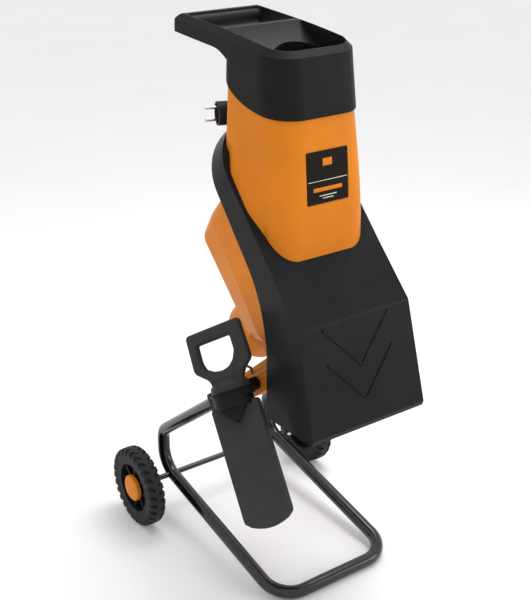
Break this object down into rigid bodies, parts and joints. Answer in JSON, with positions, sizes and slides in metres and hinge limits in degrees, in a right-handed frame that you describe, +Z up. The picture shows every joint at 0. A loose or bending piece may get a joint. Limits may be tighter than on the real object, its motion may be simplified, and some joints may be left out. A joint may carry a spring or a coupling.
{
  "type": "electric wood chipper",
  "caption": "Upright electric garden shredder with a feed hopper, discharge chute and belt-driven cutting disc on a wheeled bent-tube frame, with its push paddle.",
  "frame": {"origin": "on the floor under the middle of the machine's bounding box", "axes": "+X to the right seen from the discharge side, +Y to the rear, towards the wheels, +Z up"},
  "size_m": [0.407, 0.4757, 0.8909],
  "materials": {
    "frame_paint": "gloss black stove enamel",
    "cap_plastic": "fine moulded grain",
    "zinc_steel": "bright zinc plate",
    "hook_wire": "black coated wire",
    "tyre_rubber": "matt black tread",
    "wheel_plastic": "satin moulded black",
    "orange_plastic": "satin orange moulding",
    "hood_plastic": "satin black moulding",
    "hopper_plastic": "grained black moulding",
    "pusher_plastic": "grained black moulding",
    "label_film": "blank printed film with a pale border",
    "switch_plastic": "satin black moulding",
    "green_button": "gloss moulding",
    "red_button": "gloss moulding",
    "black_button": "gloss moulding",
    "plug_rubber": "satin moulded black",
    "nickel_brass": "nickel plated",
    "die_cast": "as cast",
    "bearing_steel": "ground steel",
    "cutter_steel": "turned steel",
    "tool_steel": "ground edges",
    "pulley_nylon": "glass-filled nylon",
    "belt_rubber": "ribbed belt",
    "laminations": "stacked sheet steel",
    "copper_wire": "enamelled copper",
    "brush_carbon": "pressed carbon",
    "insulator": "moulded insulator"
  },
  "bodies": {
    "chassis": {"frame_tube": "frame_paint", "tube_end_caps": "cap_plastic", "axle": "frame_paint", "axle_washers": "zinc_steel", "frame_bolts": "zinc_steel", "frame_bushes": "cap_plastic", "lower_bracket": "orange_plastic", "motor_housing": "orange_plastic", "motor_plate": "die_cast", "bearing_bridge": "die_cast", "cutter_bearings": "bearing_steel", "armature_bearings": "bearing_steel", "stator_core": "laminations", "field_coils": "copper_wire", "brush_holders": "insulator", "carbon_brushes": "brush_carbon", "drive_belt": "belt_rubber", "hinge_pin": "zinc_steel", "housing_screws": "zinc_steel", "interlock_switch": "insulator", "pusher_clip": "cap_plastic", "wire_hook": "hook_wire"},
    "wheel_left": {"tyre_left": "tyre_rubber", "rim_left": "wheel_plastic", "hub_cap_left": "orange_plastic"},
    "wheel_right": {"tyre_right": "tyre_rubber", "rim_right": "wheel_plastic", "hub_cap_right": "orange_plastic"},
    "hopper_unit": {"hood": "hood_plastic", "feed_shell": "orange_plastic", "label_plate": "label_film", "hopper": "hopper_plastic", "feed_throat": "hopper_plastic", "counter_knife": "tool_steel", "switch_box": "switch_plastic", "plug_body": "plug_rubber", "plug_pins": "nickel_brass"},
    "cutter": {"cutter_shaft": "bearing_steel", "drive_pulley": "pulley_nylon", "cutter_disc": "cutter_steel", "knives": "tool_steel", "knife_screws": "zinc_steel", "disc_bolt": "zinc_steel"},
    "armature": {"armature_shaft": "bearing_steel", "armature_core": "laminations", "armature_windings": "copper_wire", "commutator": "copper_wire", "cooling_fan": "pulley_nylon", "fan_spacer": "pulley_nylon", "motor_pulley": "die_cast"},
    "lock": {"lock_knob": "switch_plastic", "lock_screw": "zinc_steel"},
    "start_button": {"start_button": "green_button"},
    "stop_button": {"stop_button": "red_button"},
    "reset_button": {"reset_button": "black_button"},
    "interlock_plunger": {"interlock_plunger": "insulator"},
    "pusher": {"pusher": "pusher_plastic", "pusher_collar": "hopper_plastic"}
  },
  "joints": [
    {"name": "wheel_spin_left", "type": "hinge", "parent": "chassis", "child": "wheel_left", "pos_m": [-0.185, 0.1658, 0.072], "axis": [1, 0, 0], "continuous": true},
    {"name": "wheel_spin_right", "type": "hinge", "parent": "chassis", "child": "wheel_right", "pos_m": [0.185, 0.1658, 0.072], "axis": [1, 0, 0], "continuous": true},
    {"name": "hood_hinge", "type": "hinge", "parent": "chassis", "child": "hopper_unit", "pos_m": [0, -0.1022, 0.311], "axis": [1, 0, 0], "range_deg": [0, 65]},
    {"name": "cutter_spin", "type": "hinge", "parent": "chassis", "child": "cutter", "pos_m": [0, -0.00365, 0.617], "axis": [0, 0.7501, -0.6613], "continuous": true},
    {"name": "armature_spin", "type": "hinge", "parent": "chassis", "child": "armature", "pos_m": [0, -0.09293, 0.51573], "axis": [0, 0.7501, -0.6613], "continuous": true},
    {"name": "lock_turn", "type": "hinge", "parent": "chassis", "child": "lock", "pos_m": [0, 0.0691, 0.6995], "axis": [0, 0.915, -0.4034], "range_deg": [0, 720]},
    {"name": "start_press", "type": "slide", "parent": "hopper_unit", "child": "start_button", "axis": [0, -1, 0], "range_m": [0, 0.0025], "stiffness_N_per_m": 400, "springref_m": -0.0008},
    {"name": "stop_press", "type": "slide", "parent": "hopper_unit", "child": "stop_button", "axis": [0, -1, 0], "range_m": [0, 0.0025], "stiffness_N_per_m": 400, "springref_m": -0.0008},
    {"name": "reset_press", "type": "slide", "parent": "hopper_unit", "child": "reset_button", "axis": [0, -1, 0], "range_m": [0, 0.0025], "stiffness_N_per_m": 400, "springref_m": -0.0008},
    {"name": "interlock_travel", "type": "slide", "parent": "chassis", "child": "interlock_plunger", "axis": [0, -0.7501, 0.6613], "range_m": [0, 0.003]},
    {"name": "pusher_lift_off", "type": "slide", "parent": "chassis", "child": "pusher", "axis": [-1, 0, 0], "range_m": [0, 0.08]}
  ],
  "couplings": [
    {"joint": "armature_spin", "follows": "cutter_spin", "ratio": 3.8462},
    {"joint": "interlock_travel", "follows": "hood_hinge", "m_per_rad": 0.0026}
  ]
}
